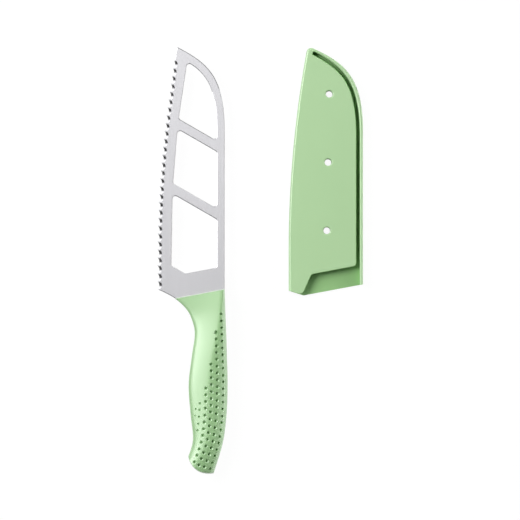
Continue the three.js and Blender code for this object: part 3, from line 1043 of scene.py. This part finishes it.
def close_ends():
    """Closes the open rings at front and butt by pulling them flat on the middle plane."""
    bpy.context.tool_settings.mesh_select_mode = (False, True, False)
    bpy.ops.mesh.select_all(action='DESELECT')
    bpy.ops.mesh.select_non_manifold()
    bpy.ops.mesh.extrude_edges_move()
    bpy.ops.transform.resize(value=(1, 1, 0), center_override=on_knife((0, 0)))
    close_lines()


def make_handle():
    piece = begin("handle_grip")
    front = FRONT_BEVEL / GRIP_LENGTH
    butt = BUTT_ROUND / GRIP_LENGTH
    rings = [grip_ring(0, FRONT_FALL)]
    for i in range(GRIP_STEPS + 1):
        rings.append(grip_ring(mix(front, 1 - butt, i / GRIP_STEPS), 0))
    rings += [grip_ring(1 - butt * (1 - along), BUTT_FALL * down) for along, down in BUTT_PROFILE]
    for ring in rings:
        trace(ring)
    close_lines()
    bpy.ops.mesh.bridge_edge_loops()
    close_ends()
    close_up()
    piece.data.materials.append(grip_green)
    for side in (1, -1):
        for kind in (1, 0):
            cut(piece, make_dimples(side, kind))
    sharpen_sinks(piece)
    smooth(piece, GRIP_CREASE, False)
    return piece


# Sheath

back_y = MOUTH_SETBACK / math.cos(math.radians(BOLSTER_SLANT))
front_y = (MOUTH_SETBACK + MOUTH_STEP) / math.cos(math.radians(BOLSTER_SLANT))
pocket_top = PLATE_WALL + POCKET_DEPTH
pocket_middle = PLATE_WALL + POCKET_DEPTH / 2
sheath_top = 2 * PLATE_WALL + POCKET_DEPTH
below = -2 * GRIP_FRONT
mouth_turn = Vector((-MOUTH_VERTEX, back_y - slant * MOUTH_VERTEX))
mouth_slope = -math.tan(math.radians(MOUTH_RISE))
mouth_end = Vector((-2 * BLADE_HEIGHT, mouth_turn.y + mouth_slope * (MOUTH_VERTEX - 2 * BLADE_HEIGHT)))


def round_blade(edge_out, spine_out, steps, corner_round):
    """An outline round the blade, grown at the edge and at the spine."""
    spine = spine_line(spine_out, steps)
    edge = edge_line(edge_out, steps)
    rise = edge[-1] - edge[-2]
    corner = meet(spine[-1], tip_line.y / tip_line.x, edge[-1], rise.y / rise.x)
    return rounded([
        (Vector((spine_out(0), below)), 0),
        *((p, 0) for p in spine[:-1]),
        (corner, corner_round),
        *((p, 0) for p in edge[-2::-1]),
        (Vector((-BLADE_HEIGHT - edge_out(0), below)), 0),
    ])


def below_mouth():
    """All that is cut away below the mouth edge."""
    outline = rounded([
        (Vector((BLADE_HEIGHT, back_y + slant * BLADE_HEIGHT)), 0),
        (mouth_turn, MOUTH_ROUND),
        (mouth_end, 0),
        (Vector((mouth_end.x, 2 * below)), 0),
        (Vector((BLADE_HEIGHT, 2 * below)), 0),
    ])
    return slab("below_mouth", [outline], on_sheath, -CUT_OVER, sheath_top + CUT_OVER)


def flared(name, outline, bottom, radius):
    """A cutter whose rim at the sheath's face leaves a rounded edge."""
    cutter = begin(name)
    trace([on_sheath(p, sheath_top + CUT_OVER) for p in grown(outline, radius)])
    close_lines()
    fill_in()
    pull(-CUT_OVER)
    flare_in(radius, FLARE_STEPS)
    pull(bottom + radius - sheath_top)
    close_up()
    return cutter


def front_opening():
    """The slot along the spine that widens into the mouth."""
    slot_x = SPINE_GAP - SLOT_WIDTH
    inner = spine_line(lambda t: slot_x, SHEATH_STEPS, SLOT_REACH)
    outer = spine_line(lambda t: SPINE_GAP, SHEATH_STEPS, SLOT_REACH)
    leg = Vector((-LEG_TOP, front_y - slant * LEG_TOP))
    foot = meet(leg, math.tan(math.radians(LEG_ANGLE)), mouth_turn, mouth_slope)
    outline = rounded([
        (Vector((SPINE_GAP, below)), 0),
        *((p, 0) for p in outer[:-1]),
        (outer[-1], SLOT_ROUND),
        (inner[-1], SLOT_ROUND),
        *((p, 0) for p in inner[-2::-1]),
        (Vector((slot_x, front_y + slant * slot_x)), LEG_ROUND),
        (leg, LEG_ROUND),
        (foot, FOOT_ROUND),
        (mouth_end, 0),
        (Vector((mouth_end.x, below)), 0),
    ])
    cutter = flared("front_opening", outline, pocket_middle, OPENING_ROUND)
    cutter.data.materials.append(inside_shaded_green)
    return cutter


def bead_rounding():
    """Rounds the inner side of the rim along the slot."""
    middle_x = SPINE_GAP - SLOT_WIDTH / 2
    inner = spine_line(lambda t: middle_x, SHEATH_STEPS, BEAD_REACH)
    outer = spine_line(lambda t: SPINE_GAP, SHEATH_STEPS, BEAD_REACH)
    outline = [
        Vector((SPINE_GAP, below)),
        *outer,
        *inner[::-1],
        Vector((middle_x, below)),
    ]
    return flared("bead_rounding", outline, pocket_middle, BEAD_ROUND)


def drain_hole(i):
    """One of the holes through both plates."""
    lean = math.tan(math.radians(DRAIN_LEAN)) * DRAIN_PITCH * i
    middle = Vector((lean - DRAIN_INSET, DRAIN_FIRST + DRAIN_PITCH * i))
    turns = [2 * math.pi * k / DRAIN_SIDES for k in range(DRAIN_SIDES)]
    outline = [middle + Vector((math.cos(a), math.sin(a))) * (DRAIN_HOLE / 2) for a in turns]
    return flared("drain_hole", outline, -CUT_OVER, DRAIN_ROUND)


def edge_wall(t):
    """From the blade's edge to the sheath's outside."""
    return POCKET_GAP + mix(EDGE_WALL, TIP_WALL, t)


def spine_rim(t):
    """From the blade's spine to the sheath's outside."""
    rim = mix(RIM_WIDTH, RIM_TIP, t ** RIM_TIP_POWER)
    return SPINE_GAP + rim + RIM_SWELL * math.sin(math.pi * t)


def make_sheath():
    outline = round_blade(edge_wall, spine_rim, SHEATH_STEPS, TIP_ROUND)
    piece = slab(
        "sheath_shell",
        [outline],
        on_sheath,
        0,
        sheath_top,
        low_round=BACK_ROUND,
        high_round=TOP_ROUND,
        steps=SHELL_STEPS,
    )
    piece.data.materials.append(sheath_green)
    inside = round_blade(lambda t: POCKET_GAP, lambda t: SPINE_GAP, POCKET_STEPS, POCKET_GAP)
    pocket = slab("pocket", [inside], on_sheath, PLATE_WALL, pocket_top)
    pocket.data.materials.append(inside_shaded_green)
    cut(piece, pocket)
    cut(piece, below_mouth())
    cut(piece, front_opening())
    cut(piece, bead_rounding())
    for i in range(DRAIN_COUNT):
        cut(piece, drain_hole(i))
    smooth(piece, SHEATH_CREASE, True)
    return piece


for piece, body, cad_node, slot in (
    (make_blade(), "knife", "blade", "blade_steel"),
    (make_handle(), "knife", "handle", "handle_plastic"),
    (make_sheath(), "sheath", "sheath", "sheath_plastic"),
):
    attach(piece, body)
    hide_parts(cad_node)


# Floor, light and camera

def ray(tree, kind):
    """One for rays of a kind, and nought for the others."""
    return node(tree, 'ShaderNodeLightPath', {}, {}, f"Is {kind} Ray")


def make_floor():
    """A white sheet that the camera and gloss see lit, and that lights the object as grey paper."""
    bpy.ops.object.select_all(action='DESELECT')
    bpy.ops.mesh.primitive_plane_add(size=FLOOR_SIZE * MM, location=(FLOOR_SHIFT * MM, 0, 0))
    floor = bpy.context.active_object
    floor.name = "floor"
    material, tree, shader = blank("floor_white")
    tree.nodes.remove(shader)
    seen = ray(tree, "Camera") + ray(tree, "Glossy") + ray(tree, "Transmission")
    paper = node(tree, 'ShaderNodeBsdfDiffuse', {}, {"Color": (0.6, 0.6, 0.6, 1)})
    veil = node(tree, 'ShaderNodeBsdfDiffuse', {}, {"Color": (0.06, 0.06, 0.06, 1)})
    shine = node(tree, 'ShaderNodeEmission', {}, {"Color": (1, 1, 1, 1), "Strength": 0.96})
    white = node(tree, 'ShaderNodeAddShader', {}, {0: veil, 1: shine})
    both = node(tree, 'ShaderNodeMixShader', {}, {0: seen, 1: paper, 2: white})
    tree.links.new(both.socket, tree.nodes["Material Output"].inputs["Surface"])
    floor.data.materials.append(material)


def make_world():
    """A studio that is bright behind the tip; gloss also sees a panel at each side."""
    world = bpy.data.worlds.new("studio")
    bpy.context.scene.world = world
    world.use_nodes = True
    tree = world.node_tree
    way = node(tree, 'ShaderNodeTexCoord', {}, {}, "Generated")
    spinewards = (1, 0, 0)
    tipwards = (0, 1, 0)
    upwards = (0, 0, 1)

    def glow(towards, start, end, low, high):
        """Light that goes from low to high as the cosine to a direction goes from start to end."""
        settings = {"operation": 'DOT_PRODUCT'}
        lean = node(tree, 'ShaderNodeVectorMath', settings, {0: way, 1: towards}, "Value")
        inputs = {"Value": lean, "From Min": start, "From Max": end, "To Min": low, "To Max": high}
        return node(tree, 'ShaderNodeMapRange', {"interpolation_type": 'SMOOTHSTEP'}, inputs)

    # Mirrored in gloss: the bright back, weaker on the spine's side and near the floor
    back = glow((0.05, 0.86, 0.5), 0.19, 0.76, 0.06, 1.22)
    back = back * glow(spinewards, 0.6, 0.1, 0.1, 1) * glow(upwards, 0.4, 0.75, 0.35, 1)

    # A strip high up on the left, and a low panel that the scallops mirror
    strip = glow(spinewards, -0.24, -0.46, 0, 3.5) * glow(upwards, 0.52, 0.68, 0, 1)
    strip = strip * glow(tipwards, -0.7, -0.35, 0, 1) * glow(tipwards, 0.6, 0.3, 0, 1)
    panel = glow((-0.82, 0.55, 0.12), 0.86, 0.96, 0, 1.1) * glow(upwards, 0.45, 0.25, 0.3, 1)

    # A small panel at the right, and a faint one in front
    right = glow((1, 0, 0.05), 0.95, 0.995, 0, 7.5)
    front = glow((0.3, -0.85, 0.43), 0.55, 0.95, 0, 0.4)

    # Soft light for the rest: from the back left, not from straight above, and from the right
    soft = glow(upwards, 0.92, 0.48, 0.01, 1) * glow((-0.4, 0.5, 0), -0.64, 0.64, 0.05, 1)
    soft = soft + glow((0.92, 0.38, 0.05), 0.78, 1, 0, 6)

    seen = ray(tree, "Camera")
    mirrored = ray(tree, "Glossy") + ray(tree, "Transmission")
    gloss = back + (panel + strip) + (right + front)
    strength = seen + (1 - seen) * (mirrored * gloss + (1 - mirrored) * soft)
    tree.links.new(strength.socket, tree.nodes["Background"].inputs["Strength"])
    tree.nodes["Background"].inputs["Color"].default_value = (1, 1, 1, 1)


def make_key_lamp():
    """A round lamp at the left, aimed at the middle of the object."""
    place = Vector(KEY_PLACE) * MM
    turn = place.to_track_quat('Z', 'Y').to_euler()
    bpy.ops.object.light_add(type='AREA', location=place, rotation=turn)
    lamp = bpy.context.active_object
    lamp.name = "key"
    lamp.data.shape = 'DISK'
    lamp.data.size = KEY_SIZE * MM
    lamp.data.energy = KEY_WATTS


def make_camera():
    """A long lens that looks straight down."""
    height = (VIEW_WIDTH * LENS / SENSOR + VIEW_LEVEL) * MM
    over = on_knife(VIEW_MIDDLE)
    bpy.ops.object.camera_add(location=(over.x, over.y, height), rotation=(0, 0, 0))
    camera = bpy.context.active_object
    camera.name = "camera"
    camera.data.lens = LENS
    camera.data.sensor_width = SENSOR
    bpy.context.scene.camera = camera


make_floor()
make_world()
make_key_lamp()
make_camera()
bpy.context.scene.view_settings.view_transform = 'Standard'
